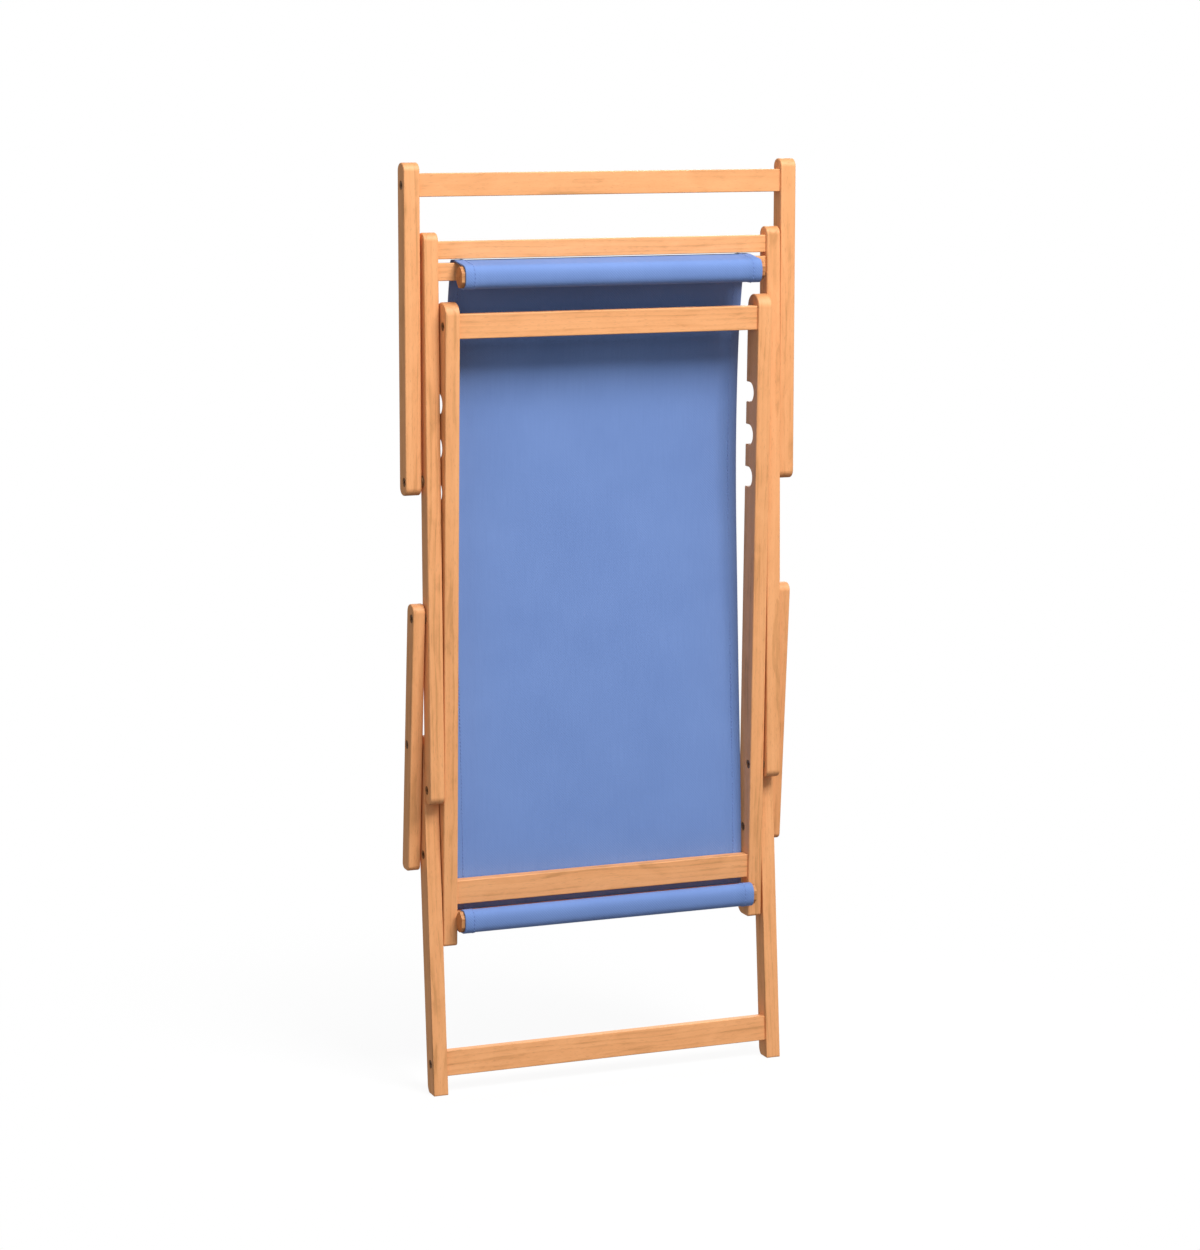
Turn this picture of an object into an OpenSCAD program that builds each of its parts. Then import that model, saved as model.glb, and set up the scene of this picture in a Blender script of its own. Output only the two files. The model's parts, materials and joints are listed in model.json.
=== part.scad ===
// Folding deck chair with a sling seat, folded flat and standing on its front legs.
// Four hinged frames and two armrests lie in three layers on each side:
// the seat frame inside, the back and leg frames next, the prop frame and armrests outside.
// X runs across the chair, +Y is the side the sitter uses, and +Z is up. Millimetres.

/* [Seat frame] */
// Width between the inner faces of the seat stiles
seat_inner_w = 427; // [380:1:480]
// Thickness of the seat, back and leg stiles, across the chair
stile_t = 20; // [18:0.5:24]
// Depth of a seat stile
seat_d = 35; // [32:0.5:40]
// Height of the seat stiles' lower ends above the floor
seat_foot_z = 197; // [190:1:205]
// Length of a seat stile
seat_len = 855; // [845:1:865]

/* [Prop notches] */
// Height of the lowest notch's centre, the one for the most upright back
notch_z = 804; // [800:1:808]
// Distance from one notch to the next
notch_pitch = 57.5; // [50:0.5:70]
// Width of a notch's mouth
notch_w = 27; // [24:0.5:30]
// Depth of a notch into the stile's upper edge
notch_deep = 22; // [20:0.5:24]

/* [Back frame] */
// Depth of a back stile
back_d = 23; // [20:0.5:24]
// Length of a back stile
back_len = 750; // [700:1:770]

/* [Leg frame] */
// Depth of a leg stile
leg_d = 25; // [24:0.5:28]
// Length of a leg stile
leg_len = 483; // [475:1:490]
// Height of the middle of the leg rail above the floor
leg_rail_z = 42.5; // [36:0.5:60]

/* [Armrests] */
// Thickness of an armrest, across the chair
arm_t = 17; // [14:0.5:18]
// Depth of an armrest
arm_d = 24; // [22:0.5:26]
// Length of an armrest
arm_len = 361; // [350:1:380]

/* [Prop frame] */
// Thickness of a prop stile, across the chair
prop_t = 22; // [18:0.5:24]
// Depth of a prop stile
prop_d = 24; // [22:0.5:26]
// Length of a prop stile
prop_len = 431; // [425:1:440]

/* [Rails] */
// Height of the wide rails
rail_h = 32; // [28:0.5:34]
// Height of the narrow rails
slim_rail_h = 23; // [20:0.5:24]
// Thickness of every rail
rail_t = 15; // [12:0.5:15]

/* [Sling] */
// Width of the canvas
sling_w = 422; // [380:1:424]
// Thickness of the canvas
sling_t = 1.2; // [1:0.1:2]
// How far the slack canvas stands off the straight line between its rails
sling_slack = 24; // [0:1:28]

/* [Fasteners] */
// Radius of the pivot bolts
bolt_r = 3; // [2.5:0.1:3.5]
// Radial running clearance of a pivot bolt
bolt_gap = 0.05; // [0.02:0.01:0.1]
// Radius of the bolt heads and sleeve nuts
head_r = 5.5; // [5:0.1:6]

/* [Hidden] */
$fn = 48;
eps = 0.01;

// The front of the seat frame, as a depth from the middle of the whole folded chair
seat_y = -18.41;

// The layers across the chair, as distances from the middle plane to each inner face,
layer_gap = 1.5;
seat_x = seat_inner_w / 2;
mid_x = seat_x + stile_t + layer_gap;
arm_x = mid_x + stile_t + layer_gap;
prop_x = mid_x + stile_t + 3;
// and to each outer face
seat_far = seat_x + stile_t;
mid_far = mid_x + stile_t;
arm_far = arm_x + arm_t;
prop_far = prop_x + prop_t;

// Each frame as [depth and height of its lower front corner, lean from upright in degrees].
// Depths are counted from the front face of the seat frame, and a positive lean tips backwards.
seat_pose = [0, seat_foot_z, 0];
back_pose = [-7.7, 392, 2.43];
leg_pose = [-24.2, -1, 5.8];
arm_pose = [27.2, 296.5, -2.8];
prop_pose = [20.5, 800, 1.455];

// The pivots, as depth from the seat frame's front face and height above the floor
back_pivot = [8, 410];
leg_pivot = [21, 320];
arm_rear_pivot = [18, 639];
arm_front_pivot = [34, 468];
prop_pivot = [28, 818];

// Rails, as distances along their stiles
rail_recess = 4;
front_rail_v = 71.5;
rear_rail_v = 824;
seat_sling_rail_v = 33;
top_rail_v = 727;
back_sling_rail_v = 699;
crossbar_v = 402;
crossbar_h = 30;

// Fasteners
counterbore_r = head_r + 0.5;
counterbore_deep = 4;
head_t = 3;
head_gap = 0.35;
washer_r = 8;
washer_t = 1;
prop_washer_t = 2.5;
socket_deep = 1.8;
socket_r = 2.4;
screw_r = 2.5;
screw_into_rail = 32;
dowel_r = 4;
dowel_deep = 12;
// The armrest's front pivot is the one that the tree of joints leaves open, so its hole is wider
open_pivot_r = 6;
open_pivot_recess_r = 9;

// Battens in the sling's pockets, as [depth, height] of the section and of its middle
batten_size = [20, 27.5];
batten_bevel = 7.5;
batten_half = 216;
head_batten_at = [-2, 1085.3];
front_batten_at = [-11.5, 232.5];
pocket_gap = 0.1;

// Colours
teak = [0.91, 0.66, 0.42];
teak_dark = [0.80, 0.55, 0.33];
canvas = [0.42, 0.54, 0.80];
bronze = [0.28, 0.20, 0.14];

// A flat shape drawn as [depth, height], made into a slice from x0 to x1
module slice(x0, x1) {
    translate([x0, seat_y, 0]) rotate([90, 0, 90]) linear_extrude(x1 - x0) children();
}

// The same slice on the left or the right: side is -1 or 1, and near and far are counted from the middle
module on_side(side, near, far) {
    slice(side > 0 ? near : -far, side > 0 ? far : -near) children();
}

// A board's own flat shape moved to its frame's place and lean
module posed(pose) {
    translate([pose[0], pose[1]]) rotate(-pose[2]) children();
}

// A board's outline with its four corner radii: lower front, lower back, upper back, upper front
module outline(deep, long, r) {
    corners = [[r[0], r[0]], [deep - r[1], r[1]], [deep - r[2], long - r[2]], [r[3], long - r[3]]];
    intersection() {
        union() {
            polygon([
                [r[0], 0], [deep - r[1], 0], [deep, r[1]], [deep, long - r[2]],
                [deep - r[2], long], [r[3], long], [0, long - r[3]], [0, r[0]]
            ]);
            for (i = [0:3]) translate(corners[i]) circle(r[i]);
        }
        square([deep, long]);
    }
}

// A round pin or hole along X, from near to far on one side
module pin(side, at, near, far, r) {
    on_side(side, near, far) translate(at) circle(r);
}

// Where a point on a frame's own outline lies
function on_frame(pose, u, v) = [
    pose[0] + u * cos(pose[2]) + v * sin(pose[2]),
    pose[1] - u * sin(pose[2]) + v * cos(pose[2])
];

// ---- pivots -------------------------------------------------------------------------------

// A sleeve bolt across two layers: the head in the outer board, the shank up to the nut
module pivot_bolt(side, at, inner, outer) {
    head_x = outer - counterbore_deep + head_gap;
    color(bronze) difference() {
        union() {
            pin(side, at, head_x, head_x + head_t, head_r);
            pin(side, at, inner + counterbore_deep - head_gap, head_x, bolt_r);
        }
        pin(side, at, head_x + head_t - socket_deep, head_x + head_t + eps, socket_r);
    }
}

// The sleeve nut, whose head lies in the inner board
module pivot_nut(side, at, inner) {
    head_x = inner + counterbore_deep - head_gap - head_t;
    color(bronze) difference() {
        pin(side, at, head_x, head_x + head_t, head_r);
        pin(side, at, head_x - eps, head_x + socket_deep, socket_r);
    }
}

// A washer between two layers, against the board that holds the bolt
module pivot_washer(side, at, face, thick) {
    color(bronze) difference() {
        pin(side, at, face, face + thick, washer_r);
        pin(side, at, face - eps, face + thick + eps, bolt_r + bolt_gap);
    }
}

// What a pivot takes out of a board: the bore, and a recess in its outer or its inner face
module outer_bore(side, at, inner, outer, r) {
    pin(side, at, inner - eps, outer + eps, r);
    pin(side, at, outer - counterbore_deep, outer + eps, counterbore_r);
}

module inner_bore(side, at, inner, outer, r, recess_r) {
    pin(side, at, inner - eps, outer + eps, r);
    pin(side, at, inner - eps, inner + counterbore_deep, recess_r);
}

// ---- rails, screws and dowels -------------------------------------------------------------

module rail(pose, v, high, half) {
    slice(-half, half) posed(pose) translate([rail_recess, v - high / 2]) square([rail_t, high]);
}

// A screw through a stile into the end of a rail, with its head in the stile's outer face
module rail_screw(side, at, inner, outer) {
    head_x = outer - counterbore_deep + head_gap;
    color(bronze) difference() {
        union() {
            pin(side, at, head_x, head_x + head_t, head_r);
            pin(side, at, inner - screw_into_rail, head_x, screw_r);
        }
        pin(side, at, head_x + head_t - socket_deep, head_x + head_t + eps, socket_r);
    }
}

module rail_dowel(side, at, face) {
    pin(side, at, face - dowel_deep, face + dowel_deep, dowel_r);
}

rail_mid = rail_recess + rail_t / 2;
seat_screws = [for (v = [front_rail_v, rear_rail_v]) on_frame(seat_pose, rail_mid, v)];
seat_dowels = [on_frame(seat_pose, rail_mid, seat_sling_rail_v)];
back_dowels = [for (v = [back_sling_rail_v, top_rail_v]) on_frame(back_pose, rail_mid, v)];
crossbar_at = on_frame(prop_pose, rail_mid, crossbar_v);
leg_rail_v = leg_rail_z / cos(leg_pose[2]);
leg_rail_at = on_frame(leg_pose, rail_mid, leg_rail_v);

module all_dowels(places, face) {
    for (side = [-1, 1], at = places) color(teak_dark) rail_dowel(side, at, face);
}

module dowel_holes(places, face) {
    for (side = [-1, 1], at = places) rail_dowel(side, at, face);
}

module screw_holes(places, face) {
    for (side = [-1, 1], at = places) pin(side, at, face - screw_into_rail, face + eps, screw_r);
}

// ---- seat frame ---------------------------------------------------------------------------

module seat_stile(side) {
    color(teak) difference() {
        on_side(side, seat_x, seat_far) difference() {
            posed(seat_pose) outline(seat_d, seat_len, [4, 15, 17, 17]);
            for (i = [0:2]) {
                z = notch_z + i * notch_pitch;
                y = seat_d - notch_deep + notch_w / 2;
                translate([y, z]) circle(notch_w / 2);
                translate([y, z - notch_w / 2]) square([seat_d, notch_w]);
            }
        }
        for (at = [back_pivot, leg_pivot]) inner_bore(side, at, seat_x, seat_far, bolt_r, counterbore_r);
        for (at = seat_screws) outer_bore(side, at, seat_x, seat_far, screw_r);
        for (at = seat_dowels) rail_dowel(side, at, seat_x);
    }
}

module seat_rail(v, high) {
    color(teak) difference() {
        rail(seat_pose, v, high, seat_x);
        dowel_holes(seat_dowels, seat_x);
        screw_holes(seat_screws, seat_x);
    }
}

// ---- back frame ---------------------------------------------------------------------------

module back_stile(side) {
    color(teak) difference() {
        on_side(side, mid_x, mid_far) posed(back_pose) outline(back_d, back_len, [11, 11, 11, 11]);
        outer_bore(side, back_pivot, mid_x, mid_far, bolt_r + bolt_gap);
        inner_bore(side, arm_rear_pivot, mid_x, mid_far, bolt_r, counterbore_r);
        inner_bore(side, prop_pivot, mid_x, mid_far, bolt_r, counterbore_r);
        for (at = back_dowels) rail_dowel(side, at, mid_x);
    }
}

module back_rail(v) {
    color(teak) difference() {
        rail(back_pose, v, slim_rail_h, mid_x);
        dowel_holes(back_dowels, mid_x);
    }
}

// ---- leg frame ----------------------------------------------------------------------------

module leg_stile(side) {
    color(teak) difference() {
        on_side(side, mid_x, mid_far) difference() {
            posed(leg_pose) outline(leg_d, leg_len, [3, 14, 12, 12]);
            // The lower end is sawn level with the floor
            translate([-leg_d * 2, -leg_d]) square([leg_d * 4, leg_d]);
        }
        outer_bore(side, leg_pivot, mid_x, mid_far, bolt_r + bolt_gap);
        inner_bore(side, arm_front_pivot, mid_x, mid_far, open_pivot_r, open_pivot_recess_r);
        outer_bore(side, leg_rail_at, mid_x, mid_far, screw_r);
    }
}

module leg_rail() {
    color(teak) difference() {
        rail(leg_pose, leg_rail_v, rail_h + 2, mid_x);
        screw_holes([leg_rail_at], mid_x);
    }
}

// ---- armrests -----------------------------------------------------------------------------

module armrest(side) {
    color(teak) difference() {
        on_side(side, arm_x, arm_far) posed(arm_pose) outline(arm_d, arm_len, [8, 8, 11, 11]);
        outer_bore(side, arm_rear_pivot, arm_x, arm_far, bolt_r + bolt_gap);
        outer_bore(side, arm_front_pivot, arm_x, arm_far, bolt_r);
    }
}

// ---- prop frame ---------------------------------------------------------------------------

module prop_stile(side) {
    color(teak) difference() {
        on_side(side, prop_x, prop_far) posed(prop_pose) outline(prop_d, prop_len, [11, 11, 11, 11]);
        outer_bore(side, prop_pivot, prop_x, prop_far, bolt_r + bolt_gap);
        outer_bore(side, crossbar_at, prop_x, prop_far, screw_r);
    }
}

module prop_crossbar() {
    color(teak) difference() {
        rail(prop_pose, crossbar_v, crossbar_h, prop_x);
        screw_holes([crossbar_at], prop_x);
    }
}

// ---- sling --------------------------------------------------------------------------------

// The eight-sided section of a batten, grown by a margin
module batten_section(at, grow = 0) {
    a = batten_size[0] / 2 + grow;
    b = batten_size[1] / 2 + grow;
    c = batten_bevel + grow * (2 - sqrt(2));
    translate(at) polygon([
        [a - c, -b], [a, c - b], [a, b - c], [a - c, b],
        [c - a, b], [-a, b - c], [-a, c - b], [c - a, -b]
    ]);
}

module batten(at) {
    color(teak_dark) slice(-batten_half, batten_half) batten_section(at);
}

// The canvas between the seat's front rail and the back's sling rail: a straight run with a belly
sling_low = [rail_recess + rail_t + 1.2, seat_foot_z + front_rail_v];
sling_high = on_frame(back_pose, rail_recess + rail_t + 1.2, back_sling_rail_v);
belly_steps = 24;
function belly(s) = sling_slack * pow(sin(180 * pow(s, 1.9)), 0.7);
function sling_point(s) = sling_low * (1 - s) + sling_high * s + [belly(s), 0];

// The whole path: from the front pocket's lower back corner, under the seat's sling rail, up
// behind the rails, over the back's sling rail, and down to the top of the head pocket
front_turn_z = seat_foot_z + seat_sling_rail_v - slim_rail_h / 2 - 1.8;
head_slot = on_frame(back_pose, rail_mid, (top_rail_v + back_sling_rail_v) / 2);
pocket_wall = pocket_gap + sling_t / 2;
front_pocket_corner = front_batten_at
    + [batten_size[0] - batten_bevel, batten_bevel - batten_size[1]] / 2 + [1, -1] * pocket_wall * sqrt(0.5);
sling_path = concat(
    [front_pocket_corner, [3, front_turn_z], [sling_low[0] - 1.5, front_turn_z]],
    [[sling_low[0], front_turn_z + 1.5]],
    [for (i = [0:belly_steps]) sling_point(i / belly_steps)],
    [head_slot + [9, 0], head_slot + [-9.5, 0], head_batten_at + [2, batten_size[1] / 2 + pocket_wall]]
);

// One side of a strip of even thickness along a path
function turn(a, b) = let (d = b - a) [-d[1], d[0]] / norm(d);
function edge(path, off) = [
    for (i = [0:len(path) - 1])
        path[i] + off * turn(path[max(i - 1, 0)], path[min(i + 1, len(path) - 1)])
];
function reversed(list) = [for (i = [len(list) - 1:-1:0]) list[i]];

module sling() {
    half = sling_w / 2;
    color(canvas) difference() {
        union() {
            slice(-half, half)
                polygon(concat(edge(sling_path, sling_t / 2), reversed(edge(sling_path, -sling_t / 2))));
            for (at = [front_batten_at, head_batten_at])
                slice(-half, half) batten_section(at, pocket_gap + sling_t);
        }
        for (at = [front_batten_at, head_batten_at])
            slice(-half - eps, half + eps) batten_section(at, pocket_gap);
    }
}

// ---- the nodes ----------------------------------------------------------------------------

module both() {
    for (side = [-1, 1]) {
        $side = side;
        children();
    }
}

seat_stile(-1);  // seat_stile_left
seat_stile(1);  // seat_stile_right
seat_rail(rear_rail_v, rail_h);  // seat_rear_rail
seat_rail(front_rail_v, rail_h);  // seat_front_rail
seat_rail(seat_sling_rail_v, slim_rail_h);  // seat_sling_rail
both() for (at = seat_screws) rail_screw($side, at, seat_x, seat_far);  // seat_rail_screws
all_dowels(seat_dowels, seat_x);  // seat_rail_dowels
batten(front_batten_at);  // front_batten
both() pivot_bolt($side, back_pivot, seat_x, mid_far);  // back_pivot_bolts
both() pivot_nut($side, back_pivot, seat_x);  // back_pivot_nuts
both() pivot_washer($side, back_pivot, seat_far, washer_t);  // back_pivot_washers
both() pivot_bolt($side, leg_pivot, seat_x, mid_far);  // leg_pivot_bolts
both() pivot_nut($side, leg_pivot, seat_x);  // leg_pivot_nuts
both() pivot_washer($side, leg_pivot, seat_far, washer_t);  // leg_pivot_washers
back_stile(-1);  // back_stile_left
back_stile(1);  // back_stile_right
back_rail(top_rail_v);  // back_top_rail
back_rail(back_sling_rail_v);  // back_sling_rail
all_dowels(back_dowels, mid_x);  // back_rail_dowels
batten(head_batten_at);  // head_batten
both() pivot_bolt($side, prop_pivot, mid_x, prop_far);  // prop_pivot_bolts
both() pivot_nut($side, prop_pivot, mid_x);  // prop_pivot_nuts
both() pivot_washer($side, prop_pivot, mid_far, prop_washer_t);  // prop_pivot_washers
both() pivot_bolt($side, arm_rear_pivot, mid_x, arm_far);  // arm_rear_bolts
both() pivot_nut($side, arm_rear_pivot, mid_x);  // arm_rear_nuts
both() pivot_washer($side, arm_rear_pivot, mid_far, washer_t);  // arm_rear_washers
leg_stile(-1);  // leg_stile_left
leg_stile(1);  // leg_stile_right
leg_rail();
both() rail_screw($side, leg_rail_at, mid_x, mid_far);  // leg_rail_screws
armrest(-1);  // armrest_left
pivot_bolt(-1, arm_front_pivot, mid_x, arm_far);  // arm_front_bolt_left
pivot_nut(-1, arm_front_pivot, mid_x);  // arm_front_nut_left
pivot_washer(-1, arm_front_pivot, arm_x - washer_t, washer_t);  // arm_front_washer_left
armrest(1);  // armrest_right
pivot_bolt(1, arm_front_pivot, mid_x, arm_far);  // arm_front_bolt_right
pivot_nut(1, arm_front_pivot, mid_x);  // arm_front_nut_right
pivot_washer(1, arm_front_pivot, arm_x - washer_t, washer_t);  // arm_front_washer_right
prop_stile(-1);  // prop_stile_left
prop_stile(1);  // prop_stile_right
prop_crossbar();
both() rail_screw($side, crossbar_at, prop_x, prop_far);  // prop_crossbar_screws
sling();
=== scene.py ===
"""The looks of a folding deck chair: oiled teak boards, a canvas sling and bronzed steel bolts.

Lengths are in metres, in the folded chair's own frame: X across it, +Y the sitter's side, +Z up.
"""

import json
import math

import bmesh
import bpy
import numpy as np
from mathutils import Matrix, Vector
from mathutils.geometry import tessellate_polygon


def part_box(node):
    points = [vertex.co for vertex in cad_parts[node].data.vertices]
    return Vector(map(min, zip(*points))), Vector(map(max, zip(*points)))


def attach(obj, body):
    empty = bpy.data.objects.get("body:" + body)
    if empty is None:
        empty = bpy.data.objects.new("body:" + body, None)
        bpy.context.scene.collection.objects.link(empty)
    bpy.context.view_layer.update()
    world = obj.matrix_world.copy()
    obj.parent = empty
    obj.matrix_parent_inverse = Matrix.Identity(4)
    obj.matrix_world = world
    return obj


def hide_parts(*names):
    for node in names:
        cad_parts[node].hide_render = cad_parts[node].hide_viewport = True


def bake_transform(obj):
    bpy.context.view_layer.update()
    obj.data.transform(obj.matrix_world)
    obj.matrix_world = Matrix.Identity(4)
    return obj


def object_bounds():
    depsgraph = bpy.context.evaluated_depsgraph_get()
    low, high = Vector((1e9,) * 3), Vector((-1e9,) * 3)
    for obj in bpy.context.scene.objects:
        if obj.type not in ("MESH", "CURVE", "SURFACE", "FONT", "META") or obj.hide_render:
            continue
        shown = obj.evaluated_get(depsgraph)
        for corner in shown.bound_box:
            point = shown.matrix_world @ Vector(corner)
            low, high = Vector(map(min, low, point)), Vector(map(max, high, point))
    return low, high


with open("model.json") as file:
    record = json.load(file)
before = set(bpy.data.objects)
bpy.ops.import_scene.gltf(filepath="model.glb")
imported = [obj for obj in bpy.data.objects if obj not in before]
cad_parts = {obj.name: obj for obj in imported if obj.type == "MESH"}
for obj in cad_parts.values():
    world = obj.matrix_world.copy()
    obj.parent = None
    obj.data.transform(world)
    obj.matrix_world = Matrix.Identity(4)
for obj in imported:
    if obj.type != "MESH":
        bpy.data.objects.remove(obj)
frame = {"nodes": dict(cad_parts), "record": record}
cad_low, cad_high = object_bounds()

MM = 0.001
GOLDEN = 0.618034
BODIES = frame["record"]["behaviour"]["bodies"]
BODY_OF = {node: body for body, nodes in BODIES.items() for node in nodes}


# ---- camera -------------------------------------------------------------------------------


def make_camera():
    """A long lens five metres away, a little above the chair and to its left."""
    turn, tilt, roll = (math.radians(angle) for angle in (23.3, 10.09, 0.6188))
    distance = 4.972
    # It looks at the middle of the folded chair, but for a few millimetres
    aim = (cad_low + cad_high) / 2 + Vector((0, 0.0106, -0.0027))
    forward = Vector((math.sin(turn) * math.cos(tilt), math.cos(turn) * math.cos(tilt), -math.sin(tilt)))
    level = Vector((math.cos(turn), -math.sin(turn), 0))
    upright = level.cross(forward)
    right = level * math.cos(roll) + upright * math.sin(roll)
    up = upright * math.cos(roll) - level * math.sin(roll)
    camera = bpy.data.objects.new("camera", bpy.data.cameras.new("camera"))
    camera.data.lens = 106.87
    camera.data.clip_end = 1000
    camera.matrix_world = Matrix((
        (right.x, up.x, -forward.x, 0),
        (right.y, up.y, -forward.y, 0),
        (right.z, up.z, -forward.z, 0),
        (0, 0, 0, 1),
    ))
    camera.location = aim - forward * distance
    bpy.context.scene.collection.objects.link(camera)
    bpy.context.scene.camera = camera


# ---- materials ----------------------------------------------------------------------------


def linear(hex_colour):
    """The linear colour of an sRGB hex value, with full alpha."""
    parts = [int(hex_colour[i : i + 2], 16) / 255 for i in (1, 3, 5)]
    return (*(c / 12.92 if c <= 0.04045 else ((c + 0.055) / 1.055) ** 2.4 for c in parts), 1)


def add(tree, kind, inputs=None, stops=None, **settings):
    """Adds a node. An input is given a number, a colour or another node's output. Stops are the places
    and the colours or greys of a ramp."""
    node = tree.nodes.new(kind)
    for key, value in settings.items():
        setattr(node, key, value)
    for key, value in (inputs or {}).items():
        if isinstance(value, bpy.types.NodeSocket):
            tree.links.new(value, node.inputs[key])
        else:
            node.inputs[key].default_value = value
    if stops:
        ramp = node.color_ramp
        while len(ramp.elements) < len(stops):
            ramp.elements.new(0.5)
        for element, (place, colour) in zip(ramp.elements, stops):
            element.position = place
            element.color = linear(colour) if isinstance(colour, str) else (colour, colour, colour, 1)
    return node


def new_material(name):
    """A new material, its node tree and its principled shader."""
    material = bpy.data.materials.new(name)
    material.use_nodes = True
    return material, material.node_tree, material.node_tree.nodes["Principled BSDF"]


def oiled_teak(name, light, middle, dark):
    """Plain-sawn teak, planed, sanded and oiled: straight warm grain with soft dark rings, fine open
    pores, a slow change of tone along the board, and end grain that drinks the oil and goes darker."""
    material, tree, shader = new_material(name)
    board = add(tree, "ShaderNodeAttribute", attribute_name="board").outputs["Vector"]

    # The rings wander by a few millimetres over a hand's length of board
    wander_at = add(
        tree, "ShaderNodeVectorMath", {0: board, 1: (1 / 0.22, 1 / 0.03, 1 / 0.03)},
        operation="MULTIPLY",
    )
    wander = add(tree, "ShaderNodeTexNoise", {"Vector": wander_at.outputs[0], "Scale": 1.0, "Detail": 2.0})
    across = add(tree, "ShaderNodeVectorMath", {0: board, 1: (0, 1, 1)}, operation="MULTIPLY")
    radius = add(tree, "ShaderNodeVectorMath", {0: across.outputs[0]}, operation="LENGTH")
    bent = add(
        tree, "ShaderNodeMath", {0: wander.outputs[0], 1: 0.016, 2: radius.outputs["Value"]},
        operation="MULTIPLY_ADD",
    )
    # Rings 6.2 mm apart, each light at first and darker where the year's growth ends
    count = add(tree, "ShaderNodeMath", {0: bent.outputs[0], 1: 0.0062}, operation="DIVIDE")
    year = add(tree, "ShaderNodeMath", {0: count.outputs[0]}, operation="FRACT")
    ring = add(
        tree, "ShaderNodeValToRGB", {"Fac": year.outputs[0]},
        stops=[(0.0, 0.30), (0.12, 0.0), (0.6, 0.25), (0.93, 1.0)],
    )

    # Fibres about 1 mm wide and 70 mm long
    fibre_at = add(
        tree, "ShaderNodeVectorMath", {0: board, 1: (1 / 0.07, 1 / 0.0011, 1 / 0.0011)},
        operation="MULTIPLY",
    )
    fibre = add(
        tree, "ShaderNodeTexNoise",
        {"Vector": fibre_at.outputs[0], "Scale": 1.0, "Detail": 3.0, "Roughness": 0.6},
    )

    # Broad streaks 12 mm wide and 0.3 m long
    streak_at = add(
        tree, "ShaderNodeVectorMath", {0: board, 1: (1 / 0.30, 1 / 0.012, 1 / 0.012)},
        operation="MULTIPLY",
    )
    streak = add(
        tree, "ShaderNodeTexNoise",
        {"Vector": streak_at.outputs[0], "Scale": 1.0, "Detail": 3.0, "Distortion": 0.6},
    )

    # Open pores: dark dashes 9 mm long and 0.5 mm wide, drawn about twice as wide so that they show
    pore_at = add(
        tree, "ShaderNodeVectorMath", {0: board, 1: (1 / 0.009, 1 / 0.0009, 1 / 0.0009)},
        operation="MULTIPLY",
    )
    pore = add(tree, "ShaderNodeTexNoise", {"Vector": pore_at.outputs[0], "Scale": 1.0, "Detail": 1.0})
    pores = add(
        tree, "ShaderNodeValToRGB", {"Fac": pore.outputs[0]},
        stops=[(0.0, 1.0), (0.30, 1.0), (0.38, 0.0), (1.0, 0.0)],
    )

    ring_part = add(tree, "ShaderNodeMath", {0: ring.outputs[0], 1: 0.15}, operation="MULTIPLY")
    fibre_part = add(
        tree, "ShaderNodeMath", {0: fibre.outputs[0], 1: 0.22, 2: ring_part.outputs[0]},
        operation="MULTIPLY_ADD",
    )
    streak_part = add(
        tree, "ShaderNodeMath", {0: streak.outputs[0], 1: 0.70, 2: fibre_part.outputs[0]},
        operation="MULTIPLY_ADD",
    )
    # Slow clouds of tone 60 mm long, where the oil has gone in deeper
    cloud_at = add(
        tree, "ShaderNodeVectorMath", {0: board, 1: (1 / 0.06, 1 / 0.025, 1 / 0.025)},
        operation="MULTIPLY",
    )
    cloud = add(
        tree, "ShaderNodeTexNoise",
        {"Vector": cloud_at.outputs[0], "Scale": 1.0, "Detail": 4.0, "Distortion": 1.2},
    )
    cloud_part = add(
        tree, "ShaderNodeMath", {0: cloud.outputs[0], 1: 0.55, 2: streak_part.outputs[0]},
        operation="MULTIPLY_ADD",
    )
    tone = add(
        tree, "ShaderNodeValToRGB", {"Fac": cloud_part.outputs[0]},
        stops=[(0.62, light), (0.84, middle), (1.0, dark)],
    )

    pore_mix = add(tree, "ShaderNodeMath", {0: pores.outputs[0], 1: 0.20}, operation="MULTIPLY")
    pored = add(
        tree, "ShaderNodeMix",
        {"Factor": pore_mix.outputs[0], 6: tone.outputs[0], 7: linear("#8A5A34")}, data_type="RGBA",
    )
    end = add(tree, "ShaderNodeAttribute", attribute_name="end_grain").outputs["Fac"]
    end_mix = add(tree, "ShaderNodeMath", {0: end, 1: 0.45}, operation="MULTIPLY")
    ended = add(
        tree, "ShaderNodeMix",
        {"Factor": end_mix.outputs[0], 6: pored.outputs[2], 7: linear("#A8693C")}, data_type="RGBA",
    )
    tree.links.new(ended.outputs[2], shader.inputs["Base Color"])

    # A wiped oil finish is satin, and duller where the fibres stand up
    rough = add(tree, "ShaderNodeMapRange", {"Value": fibre.outputs[0], "To Min": 0.46, "To Max": 0.62})
    tree.links.new(rough.outputs[0], shader.inputs["Roughness"])
    shader.inputs["IOR"].default_value = 1.46
    height = add(
        tree, "ShaderNodeMath", {0: pores.outputs[0], 1: -0.6, 2: fibre.outputs[0]},
        operation="MULTIPLY_ADD",
    )
    bump = add(tree, "ShaderNodeBump", {"Height": height.outputs[0], "Strength": 0.18, "Distance": 0.0004})
    tree.links.new(bump.outputs[0], shader.inputs["Normal"])
    return material


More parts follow.
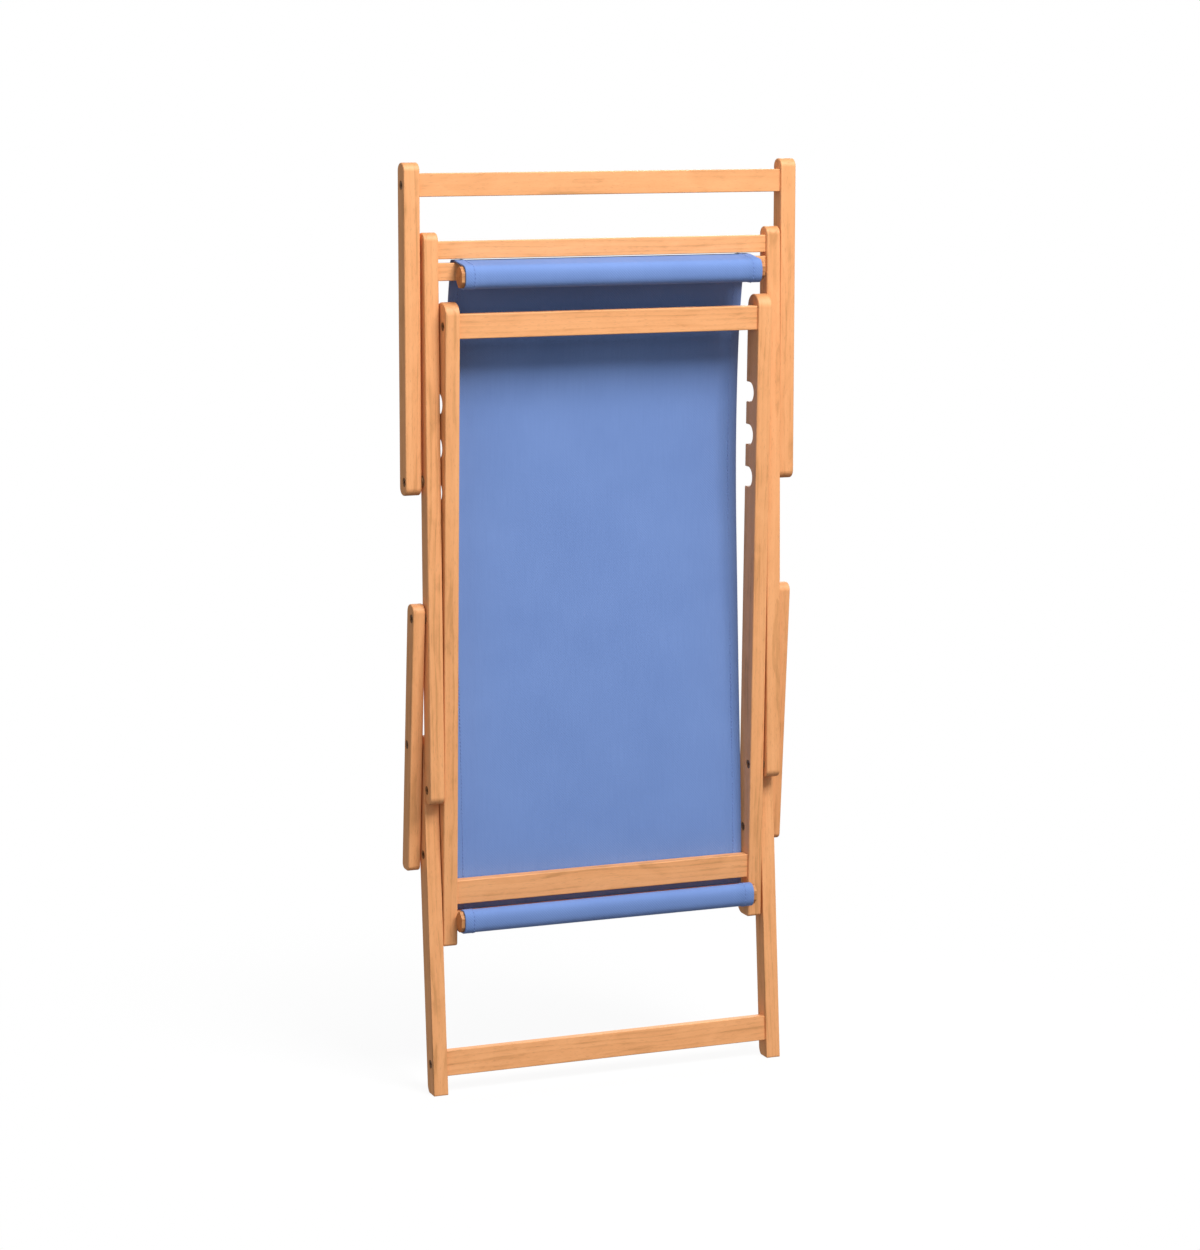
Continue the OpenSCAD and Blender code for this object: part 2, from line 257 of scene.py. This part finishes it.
def woven_canvas(name, light, dark):
    """Plain-woven acrylic canvas, dyed in the yarn: matt, even, with a faint rib from its threads and
    a soft bloom where light grazes it."""
    material, tree, shader = new_material(name)
    cloth = add(tree, "ShaderNodeAttribute", attribute_name="cloth").outputs["Vector"]
    # Threads are 0.5 mm apart in the real cloth, and are drawn 1.8 mm apart so that they show
    pitch = 1.8 * MM
    threads = add(
        tree, "ShaderNodeVectorMath", {0: cloth, "Scale": math.tau / (2 * pitch)},
        operation="SCALE",
    )
    split = add(tree, "ShaderNodeSeparateXYZ", {0: threads.outputs[0]})
    warp = add(tree, "ShaderNodeMath", {0: split.outputs[0]}, operation="SINE")
    weft = add(tree, "ShaderNodeMath", {0: split.outputs[1]}, operation="SINE")
    over = add(tree, "ShaderNodeMath", {0: warp.outputs[0], 1: weft.outputs[0]}, operation="MULTIPLY")
    # Slubs, where the yarn is thicker, 2 mm wide and 50 mm long
    slub_at = add(
        tree, "ShaderNodeVectorMath", {0: cloth, 1: (1 / 0.002, 1 / 0.05, 1)}, operation="MULTIPLY",
    )
    slub = add(tree, "ShaderNodeTexNoise", {"Vector": slub_at.outputs[0], "Scale": 1.0, "Detail": 2.0})
    # The dye has faded a little in patches about 110 mm across
    patch = add(tree, "ShaderNodeTexNoise", {"Vector": cloth, "Scale": 9.0, "Detail": 3.0})
    slub_part = add(tree, "ShaderNodeMath", {0: slub.outputs[0], 1: 0.3}, operation="MULTIPLY")
    woven = add(
        tree, "ShaderNodeMath", {0: over.outputs[0], 1: 0.05, 2: slub_part.outputs[0]},
        operation="MULTIPLY_ADD",
    )
    faded = add(
        tree, "ShaderNodeMath", {0: patch.outputs[0], 1: 0.6, 2: woven.outputs[0]},
        operation="MULTIPLY_ADD",
    )
    tone = add(tree, "ShaderNodeValToRGB", {"Fac": faded.outputs[0]}, stops=[(0.25, dark), (0.65, light)])
    tree.links.new(tone.outputs[0], shader.inputs["Base Color"])
    # The yarn's loose fibres give the bloom
    shader.inputs["Roughness"].default_value = 0.85
    shader.inputs["Sheen Weight"].default_value = 0.12
    shader.inputs["Sheen Roughness"].default_value = 0.45
    shader.inputs["Sheen Tint"].default_value = linear("#A9C0F2")
    rib = add(
        tree, "ShaderNodeMath", {0: slub.outputs[0], 1: 0.5, 2: over.outputs[0]},
        operation="MULTIPLY_ADD",
    )
    bump = add(tree, "ShaderNodeBump", {"Height": rib.outputs[0], "Strength": 0.22, "Distance": 0.0003})
    tree.links.new(bump.outputs[0], shader.inputs["Normal"])
    return material


def bronzed_steel():
    """Steel bolts and washers with a bronze lacquer: dull brown, with only a little of the metal's gleam
    coming through, and worn lighter in patches about 2 mm across."""
    material, tree, shader = new_material("bronzed_steel")
    place = add(tree, "ShaderNodeTexCoord").outputs["Object"]
    wear = add(tree, "ShaderNodeTexNoise", {"Vector": place, "Scale": 1 / 0.002, "Detail": 4.0})
    tone = add(
        tree, "ShaderNodeValToRGB", {"Fac": wear.outputs[0]},
        stops=[(0.4, "#7A5436"), (0.75, "#A07A54")],
    )
    tree.links.new(tone.outputs[0], shader.inputs["Base Color"])
    rough = add(tree, "ShaderNodeMapRange", {"Value": wear.outputs[0], "To Min": 0.35, "To Max": 0.6})
    tree.links.new(rough.outputs[0], shader.inputs["Roughness"])
    shader.inputs["Metallic"].default_value = 0.3
    return material


def turned_beech():
    """Glued beech dowels, plain and pale with short brown flecks 4 mm long."""
    material, tree, shader = new_material("turned_beech")
    place = add(tree, "ShaderNodeTexCoord").outputs["Object"]
    fleck_at = add(
        tree, "ShaderNodeVectorMath", {0: place, 1: (1 / 0.004, 1 / 0.0006, 1 / 0.0006)},
        operation="MULTIPLY",
    )
    fleck = add(tree, "ShaderNodeTexNoise", {"Vector": fleck_at.outputs[0], "Scale": 1.0, "Detail": 2.0})
    tone = add(
        tree, "ShaderNodeValToRGB", {"Fac": fleck.outputs[0]},
        stops=[(0.35, "#B98A5E"), (0.6, "#D9B084")],
    )
    tree.links.new(tone.outputs[0], shader.inputs["Base Color"])
    shader.inputs["Roughness"].default_value = 0.6
    return material


def sewing_thread():
    """Bonded polyester thread, a shade paler than the canvas, twisted every 0.6 mm."""
    material, tree, shader = new_material("sewing_thread")
    place = add(tree, "ShaderNodeTexCoord").outputs["Object"]
    twist = add(tree, "ShaderNodeTexNoise", {"Vector": place, "Scale": 1 / 0.0006, "Detail": 1.0})
    tone = add(
        tree, "ShaderNodeValToRGB", {"Fac": twist.outputs[0]},
        stops=[(0.35, "#5874B4"), (0.65, "#86A2E0")],
    )
    tree.links.new(tone.outputs[0], shader.inputs["Base Color"])
    shader.inputs["Roughness"].default_value = 0.5
    return material


# ---- boards -------------------------------------------------------------------------------

# Points nearer to each other than this are one point, and faces this near to a plane lie in it
WELD = 0.15 * MM
IN_PLANE = 0.01 * MM
# A stile's side faces get an even border this wide, and less where a hole is near the edge
BORDER = 2.2 * MM
BORDER_TO_HOLE = 0.9
# The rounded edge takes at most this share of the border
EASE_IN_BORDER = 0.85
# The pith lies this far from a board's middle, from the nearest board to the farthest
NEAR_PITH, PITH_RANGE = 30 * MM, 45 * MM
# Edges that turn by more than this, in radians, stay crisp
CRISP = math.radians(32)


def long_axes(points):
    """A board's middle and its own three directions: along the grain, then the wide and the thin way."""
    middle = (points.min(0) + points.max(0)) / 2
    _, axes = np.linalg.eigh(np.cov((points - middle).T))
    axes = axes.T[::-1]
    axes = [a * np.sign(a[np.argmax(np.abs(a))]) for a in axes]
    return middle, np.array(axes)


def rim_loops(faces):
    """The closed rings of points round a flat group of faces, the longest first."""
    inside = set(faces)
    # A list keeps the edges in one order, so every run gives the same mesh
    rim = [e for f in faces for e in f.edges if sum(g in inside for g in e.link_faces) == 1]
    loops = []
    while rim:
        edge = rim.pop()
        start, here = edge.verts
        loop = [start]
        while here is not start:
            loop.append(here)
            edge = next(e for e in here.link_edges if e in rim)
            rim.remove(edge)
            here = edge.other_vert(here)
        loops.append(loop)
    return sorted(loops, key=lambda loop: -sum((a.co - b.co).length for a, b in zip(loop, loop[1:])))


def inset(loop, distance):
    """Places inside a ring of points that lies in a plane across X, at an even distance from it."""
    count = len(loop)
    flat = [Vector((v.co.y, v.co.z)) for v in loop]
    area = sum(flat[k - 1].cross(flat[k]) for k in range(count))
    made = []
    for k in range(count):
        before = (flat[k] - flat[k - 1]).normalized()
        after = (flat[(k + 1) % count] - flat[k]).normalized()
        normal = Vector((-before.y - after.y, before.x + after.x)) * math.copysign(1, area)
        normal.normalize()
        square = Vector((-before.y, before.x)) * math.copysign(1, area)
        move = normal * distance / max(normal.dot(square), 0.5)
        made.append(Vector((loop[k].co.x, flat[k].x + move.x, flat[k].y + move.y)))
    return made


def reface_side(mesh, side):
    """Makes one side face of a stile afresh: an even border inside its outline, then a filled middle
    that leaves out the holes. Returns the outline's edges and the border's width."""
    plane = max(v.co.x * side for v in mesh.verts)
    faces = [
        f for f in mesh.faces
        if f.normal.x * side > 0.99 and abs(f.verts[0].co.x * side - plane) < IN_PLANE
    ]
    outline, *holes = rim_loops(faces)
    nearest = min(((a.co - b.co).length for a in outline for hole in holes for b in hole), default=1.0)
    border = min(BORDER, BORDER_TO_HOLE * nearest)
    bmesh.ops.delete(mesh, geom=faces, context="FACES_ONLY")
    bmesh.ops.delete(mesh, geom=[e for e in mesh.edges if not e.link_faces], context="EDGES")
    inner = [mesh.verts.new(place) for place in inset(outline, border)]
    count = len(outline)
    for k in range(count):
        mesh.faces.new((outline[k - 1], outline[k], inner[k], inner[k - 1]))
    rings = [inner, *holes]
    flat = [v for ring in rings for v in ring]
    for corners in tessellate_polygon([[v.co for v in ring] for ring in rings]):
        mesh.faces.new([flat[k] for k in corners])
    return [mesh.edges.get((outline[k - 1], outline[k])) for k in range(count)], border


def long_edges(mesh):
    """A rail's edges along its length, between faces that lie along X and meet at an angle."""
    return [
        e for e in mesh.edges
        if len(e.link_faces) == 2 and e.calc_face_angle() > math.radians(30)
        and all(abs(f.normal.x) < 0.05 for f in e.link_faces)
    ]


def eased_board(node, ease, number, is_rail):
    """A board with its long edges sanded round, cut from the frame's own node, and the place of each
    point in the tree it was sawn from, so that every board has its own grain."""
    mesh = bmesh.new()
    mesh.from_mesh(frame["nodes"][node].data)
    bmesh.ops.remove_doubles(mesh, verts=mesh.verts, dist=WELD)
    bmesh.ops.dissolve_limit(mesh, angle_limit=math.radians(0.5), verts=mesh.verts, edges=mesh.edges)
    if is_rail:
        edges = long_edges(mesh)
    else:
        (left, border_left), (right, border_right) = reface_side(mesh, -1), reface_side(mesh, 1)
        edges, ease = left + right, min(ease, EASE_IN_BORDER * min(border_left, border_right))
        bmesh.ops.recalc_face_normals(mesh, faces=mesh.faces)
    bmesh.ops.bevel(
        mesh, geom=edges, offset=ease, offset_type="OFFSET",
        segments=4, profile=0.5, affect="EDGES", clamp_overlap=False,
    )
    # Sanding takes wood off and never adds any
    low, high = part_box(node)
    for vertex in mesh.verts:
        vertex.co = Vector(max(a, min(b, c)) for a, b, c in zip(low, high, vertex.co))
    bmesh.ops.recalc_face_normals(mesh, faces=mesh.faces)
    for face in mesh.faces:
        face.smooth = True
    for edge in mesh.edges:
        edge.smooth = not (len(edge.link_faces) == 2 and edge.calc_face_angle() > CRISP)
    data = bpy.data.meshes.new(node + "_board")
    mesh.to_mesh(data)
    mesh.free()

    points = np.array([v.co for v in data.vertices])
    middle, axes = long_axes(points)
    # Each board has its own distance and angle from the pith, and its own place along the trunk
    reach = NEAR_PITH + PITH_RANGE * (number * GOLDEN % 1)
    around = math.tau * (number * (1 - GOLDEN) % 1)
    from_pith = [number * 1.37, reach * math.cos(around), reach * math.sin(around)]
    place = (points - middle) @ axes.T + np.array(from_pith)
    attribute = data.attributes.new("board", "FLOAT_VECTOR", "POINT")
    attribute.data.foreach_set("vector", place.astype(np.float32).ravel())
    normals = np.array([p.normal for p in data.polygons])
    ends = data.attributes.new("end_grain", "FLOAT", "FACE")
    ends.data.foreach_set("value", (np.abs(normals @ axes[0]) ** 2).astype(np.float32))

    piece = bpy.data.objects.new(node + "_board", data)
    bpy.context.scene.collection.objects.link(piece)
    weighted = piece.modifiers.new("even_shading", "WEIGHTED_NORMAL")
    weighted.keep_sharp = True
    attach(piece, BODY_OF[node])
    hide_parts(node)
    return piece


# ---- sling --------------------------------------------------------------------------------

CANVAS = 1.2 * MM
# How far the slack canvas stands off the straight line between its rails
SLACK = 24 * MM
HEM = 15 * MM
# How far the middle of the canvas lies outside a batten, and how square it makes the batten look
WRAP = 1.1 * MM
SQUARENESS = 2.5
# The route has a point every 3 mm
ROUTE_STEP = 3 * MM
# The ripple's height
RIPPLE = 0.7 * MM
STITCH_PITCH, STITCH_LENGTH = 5 * MM, 3.6 * MM
STITCH_RISE, THREAD_RADIUS = 0.5 * MM, 0.45 * MM
# Where a row of stitches lies: from the hem's inner edge, and from each end of the canvas
HEM_ROW, SEAM_ROW = 2.5 * MM, 19 * MM


def middle_of(node):
    """The middle of a node's box."""
    low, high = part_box(node)
    return (low + high) / 2


def around_batten(node, start, end, steps):
    """Points round a batten in the Y-Z plane, from one angle to another in degrees, on a rounded
    oblong that the taut canvas makes. Zero is towards +Y and a quarter turn is up."""
    low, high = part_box(node)
    half_y, half_z = (high.y - low.y) / 2 + WRAP, (high.z - low.z) / 2 + WRAP
    centre, power, points = middle_of(node), 2 / SQUARENESS, []
    for i in range(steps + 1):
        angle = math.radians(start + (end - start) * i / steps)
        c, s = math.cos(angle), math.sin(angle)
        points.append((
            centre.y + half_y * math.copysign(abs(c) ** power, c),
            centre.z + half_z * math.copysign(abs(s) ** power, s),
        ))
    return points


def rounded(points, radius, steps=5):
    """A polyline with each inner corner replaced by a short curve."""
    made = [points[0]]
    for before, corner, after in zip(points, points[1:], points[2:]):
        a, b, c = Vector(before), Vector(corner), Vector(after)
        reach = min(radius, (a - b).length * 0.45, (c - b).length * 0.45)
        p, q = b + (a - b).normalized() * reach, b + (c - b).normalized() * reach
        for i in range(steps + 1):
            t = i / steps
            made.append(tuple((1 - t) ** 2 * p + 2 * t * (1 - t) * b + t * t * q))
    return made + [points[-1]]


def sling_route():
    """The canvas from its front pocket to its head pocket, as depth and height. It goes round the front
    batten, under the seat's sling rail, up behind the rails, over the back's sling rail and round the
    head batten. Its middle runs close to the wood, mostly 1 or 2 mm off it."""
    front_low, front_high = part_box("seat_front_rail")
    under_low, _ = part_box("seat_sling_rail")
    over_low, over_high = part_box("back_sling_rail")
    top_low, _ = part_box("back_top_rail")
    behind, beneath = front_high.y + 1.2 * MM, under_low.z - 1.8 * MM
    slot = (over_high.z + top_low.z) / 2
    low = Vector((behind, (front_low.z + front_high.z) / 2))
    high = Vector((over_high.y + 0.9 * MM, (over_low.z + over_high.z) / 2))
    front = around_batten("front_batten", -40, 270, 40)
    turn = [front[-1], (under_low.y + 2 * MM, beneath), (behind, beneath), (low.x, low.y)]
    # The slack stands off most at seven tenths of the way up
    run, parts = [], 60
    for i in range(1, parts):
        s = i / parts
        at = low.lerp(high, s)
        run.append((at.x + SLACK * math.sin(math.pi * s**1.9) ** 0.7, at.y))
    over = [run[-1], (over_high.y + 1.2 * MM, slot), (over_low.y - 0.2 * MM, slot)]
    head = around_batten("head_batten", 100, 400, 40)
    turn, over = rounded(turn, 4 * MM), rounded([*over, head[0]], 3 * MM)
    return front[:-1] + turn[:-1] + run[:-1] + over[:-1] + head


def evenly(points, step):
    """The same route with points the given step apart, and the length up to each."""
    route = np.array(points)
    lengths = np.concatenate([[0], np.cumsum(np.linalg.norm(np.diff(route, axis=0), axis=1))])
    count = int(lengths[-1] / step) + 1
    at = np.linspace(0, lengths[-1], count)
    return np.stack([np.interp(at, lengths, route[:, k]) for k in (0, 1)], axis=1), at


def make_sling(material, thread):
    """The canvas as one swept sheet with folded hems, and its stitches."""
    low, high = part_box("sling")
    half = (high.x - low.x) / 2
    route, at = evenly(sling_route(), ROUTE_STEP)
    length = at[-1]
    # The points across the canvas lie close together at its edges and at the hems' inner edges
    edge, step_in = 0.6 * MM, HEM + 1 * MM
    inner = np.linspace(step_in - half, half - step_in, 29)
    columns = [-half, edge - half, HEM - half, *inner, half - HEM, half - edge, half]
    verts, cloth, faces = [], [], []
    for (y, z), s in zip(route, at):
        for x in columns:
            # The free span carries a slow ripple, its waves 200 mm wide and 520 mm long
            free = max(0.0, math.sin(math.pi * s / length)) ** 2
            ripple = RIPPLE * free * math.sin(x * 31 + 1.3 * math.sin(s * 9)) * math.sin(s * 12 + 1)
            verts.append((x, y + ripple, z))
            cloth.append((x, s, 0))
    wide = len(columns)
    for k in range(len(route) - 1):
        for i in range(wide - 1):
            a = k * wide + i
            faces.append((a, a + 1, a + wide + 1, a + wide))
    data = bpy.data.meshes.new("sling_canvas")
    data.from_pydata(verts, [], faces)
    data.attributes.new("cloth", "FLOAT_VECTOR", "POINT").data.foreach_set(
        "vector", np.array(cloth, np.float32).ravel()
    )
    data.shade_smooth()
    sling = bpy.data.objects.new("sling_canvas", data)
    bpy.context.scene.collection.objects.link(sling)
    # The folded hems are twice as thick as the rest
    hem = sling.vertex_groups.new(name="hem")
    for i, vertex in enumerate(data.vertices):
        if abs(vertex.co.x) > half - HEM - 0.5 * MM:
            hem.add([i], 1.0, "REPLACE")
    solid = sling.modifiers.new("thickness", "SOLIDIFY")
    solid.thickness = 2 * CANVAS
    solid.offset = 0
    solid.vertex_group = "hem"
    solid.thickness_vertex_group = 0.5
    solid.use_rim = True
    data.materials.append(material)
    apply_modifiers(sling)
    bend(sling)
    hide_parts("sling")

    rows = []
    for side in (-1, 1):
        for face in (-1, 1):
            rows.append(hem_row(route, at, side * (half - HEM + HEM_ROW), face))
    for place in (SEAM_ROW, length - SEAM_ROW):
        for face in (-1, 1):
            rows.append(seam_row(route, at, place, half - HEM, face))
    stitches = join_rows("sling_stitching", rows)
    stitches.data.materials.append(thread)
    bend(stitches)


def apply_modifiers(piece):
    """The piece's own mesh with its modifiers made real."""
    graph = bpy.context.evaluated_depsgraph_get()
    made = bpy.data.meshes.new_from_object(
        piece.evaluated_get(graph), preserve_all_data_layers=True, depsgraph=graph,
    )
    made.name = piece.name
    piece.modifiers.clear()
    piece.data = made


def bend(piece):
    """Bakes the piece's placement into its own mesh. The canvas stays as it is built and does not turn
    with the frames.
    """
    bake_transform(piece)


def stitch(start, end, lift):
    """One stitch: a thread from start to end that rises by lift and dives at both ends."""
    start, end, lift = Vector(start), Vector(end), Vector(lift)
    along = (end - start).normalized()
    side = along.cross(lift).normalized()
    up = side.cross(along).normalized()
    verts, faces, sides = [], [], 6
    # Along the stitch: the share of its length, of its rise and of its thickness
    profile = [(0.0, -0.2, 0.5), (0.2, 0.6, 1.0), (0.8, 0.6, 1.0), (1.0, -0.2, 0.5)]
    for share, rise, girth in profile:
        middle = start.lerp(end, share) + lift * rise
        for i in range(sides):
            angle = math.tau * i / sides
            verts.append(middle + THREAD_RADIUS * girth * (side * math.cos(angle) + up * math.sin(angle)))
    for ring in range(len(profile) - 1):
        for i in range(sides):
            a, b = ring * sides + i, ring * sides + (i + 1) % sides
            faces.append((a, a + sides, b + sides, b))
    last = len(verts) - 1
    faces += [tuple(range(sides)), tuple(range(last, last - sides, -1))]
    return verts, faces


def on_route(route, at, s):
    """The route's point and its outward normal at a length along it."""
    (y0, z0), (y, z), (y1, z1) = (
        [np.interp(place, at, route[:, k]) for k in (0, 1)] for place in (s - 1 * MM, s, s + 1 * MM)
    )
    size = math.hypot(y1 - y0, z1 - z0)
    return (y, z), ((z1 - z0) / size, (y0 - y1) / size)


def sew(point_at, start, stop, height):
    """A row of stitches from one distance to another. point_at gives a point of the canvas's middle and
    the way out of it, and height is how far out the thread lies."""
    made, here = [], start
    while here < stop:
        point, out = point_at(here)
        end, _ = point_at(here + STITCH_LENGTH)
        made.append(stitch(point + out * height, end + out * height, out * STITCH_RISE))
        here += STITCH_PITCH
    return made


def hem_row(route, at, x, face):
    """The stitches of one hem, on one face of the canvas, which is two layers thick there. They stop
    8 mm and 12 mm short of its ends."""

    def point_at(s):
        (y, z), normal = on_route(route, at, s)
        return Vector((x, y, z)), Vector((0, *normal)) * face

    return sew(point_at, 8 * MM, at[-1] - 12 * MM, 1.02 * CANVAS)


def seam_row(route, at, s, half, face):
    """The stitches across the canvas that close a pocket, on one face of it."""
    (y, z), normal = on_route(route, at, s)
    out = Vector((0, *normal)) * face
    return sew(lambda x: (Vector((x, y, z)), out), -half, half - STITCH_LENGTH, 0.55 * CANVAS)


def join_rows(name, rows):
    """All the stitches as one piece."""
    verts, faces = [], []
    for row in rows:
        for some_verts, some_faces in row:
            start = len(verts)
            verts += some_verts
            faces += [tuple(start + i for i in face) for face in some_faces]
    data = bpy.data.meshes.new(name)
    data.from_pydata(verts, [], faces)
    data.shade_smooth()
    piece = bpy.data.objects.new(name, data)
    bpy.context.scene.collection.objects.link(piece)
    return piece


# ---- floor and light ----------------------------------------------------------------------


def make_floor():
    """A pale floor with a faint shadow, which turns into the background's white away from the chair.
    It looks brighter than it lights the chair."""
    material, tree, shader = new_material("pale_floor")
    shader.inputs["Base Color"].default_value = linear("#F4F4F4")
    shader.inputs["Roughness"].default_value = 0.9
    shader.inputs["Specular IOR Level"].default_value = 0.1
    place = add(tree, "ShaderNodeTexCoord").outputs["Object"]
    away = add(tree, "ShaderNodeVectorMath", {0: place}, operation="LENGTH")
    fade = add(
        tree, "ShaderNodeMapRange",
        {"Value": away.outputs["Value"], "From Min": 0.0, "From Max": 1.0, "To Min": 0.9},
        interpolation_type="SMOOTHSTEP",
    )
    seen = add(tree, "ShaderNodeLightPath").outputs["Is Camera Ray"]
    bright = add(tree, "ShaderNodeMapRange", {"Value": seen, "To Min": 0.20, "To Max": 1.0})
    glow = add(tree, "ShaderNodeEmission", {"Color": (1, 1, 1, 1)})
    tree.links.new(bright.outputs[0], glow.inputs["Strength"])
    mix = add(tree, "ShaderNodeMixShader", {0: fade.outputs[0], 1: shader.outputs[0], 2: glow.outputs[0]})
    tree.links.new(mix.outputs[0], tree.nodes["Material Output"].inputs["Surface"])
    data = bpy.data.meshes.new("floor")
    # It reaches 300 m each way, so no horizon shows
    reach = 300
    corners = [(-reach, -reach, 0), (reach, -reach, 0), (reach, reach, 0), (-reach, reach, 0)]
    data.from_pydata(corners, [], [(0, 1, 2, 3)])
    data.materials.append(material)
    floor = bpy.data.objects.new("floor", data)
    bpy.context.scene.collection.objects.link(floor)


def make_light(name, place, size, watts):
    """A square soft box that faces the chair, a little above its middle."""
    data = bpy.data.lights.new(name, "AREA")
    data.size = size
    data.energy = watts
    lamp = bpy.data.objects.new(name, data)
    lamp.location = place
    lamp.rotation_mode = "QUATERNION"
    lamp.rotation_quaternion = (Vector((0, 0, 0.7)) - Vector(place)).to_track_quat("-Z", "Y")
    bpy.context.scene.collection.objects.link(lamp)


def make_world():
    """White all round: bright behind the chair and softer as a light on it."""
    world = bpy.data.worlds.new("studio")
    bpy.context.scene.world = world
    world.use_nodes = True
    tree = world.node_tree
    seen = add(tree, "ShaderNodeLightPath").outputs["Is Camera Ray"]
    strength = add(tree, "ShaderNodeMapRange", {"Value": seen, "To Min": 0.40, "To Max": 1.0})
    back = tree.nodes["Background"]
    back.inputs["Color"].default_value = (1, 1, 1, 1)
    tree.links.new(strength.outputs[0], back.inputs["Strength"])


# ---- the chair ----------------------------------------------------------------------------

make_camera()
bpy.context.scene.view_settings.view_transform = "Standard"

TEAK = oiled_teak("oiled_teak", "#F7B177", "#EFA86E", "#D6965E")
BATTEN_TEAK = oiled_teak("oiled_teak_battens", "#D89A62", "#C4834E", "#9C6238")
STEEL = bronzed_steel()
BEECH = turned_beech()

STILES = [
    "seat_stile_left", "seat_stile_right", "back_stile_left", "back_stile_right",
    "leg_stile_left", "leg_stile_right", "prop_stile_left", "prop_stile_right",
    "armrest_left", "armrest_right",
]
RAILS = [
    "seat_rear_rail", "seat_front_rail", "seat_sling_rail", "back_top_rail",
    "back_sling_rail", "leg_rail", "prop_crossbar",
]
BATTENS = ["front_batten", "head_batten"]

# Each kind of board: its nodes, how much its edges are rounded, its timber and the timber's slot
KINDS = [
    (STILES, 1.8 * MM, TEAK, "frame_timber"),
    (RAILS, 1.2 * MM, TEAK, "frame_timber"),
    (BATTENS, 0.8 * MM, BATTEN_TEAK, "batten_timber"),
]

# A board's number gives it a grain of its own
number = 3
for nodes, ease, timber, slot in KINDS:
    for node in nodes:
        piece = eased_board(node, ease, number, nodes is not STILES)
        piece.data.materials.append(timber)
        number += 1

# The bolts, nuts, washers, screws and dowels are shown as the frame gives them
for node, cad in frame["nodes"].items():
    if cad.hide_render or node == "sling":
        continue
    cad.data.materials.clear()
    cad.data.materials.append(BEECH if "dowel" in node else STEEL)

make_sling(woven_canvas("woven_canvas", "#7492CE", "#6A88C4"), sewing_thread())
make_floor()
make_light("key", (0.8, -2.6, 4.2), 1.9, 215)
make_light("fill", (-2.6, -2.6, 1.6), 2.4, 12)
make_light("back", (2.4, 3.2, 2.4), 2.2, 75)
make_world()
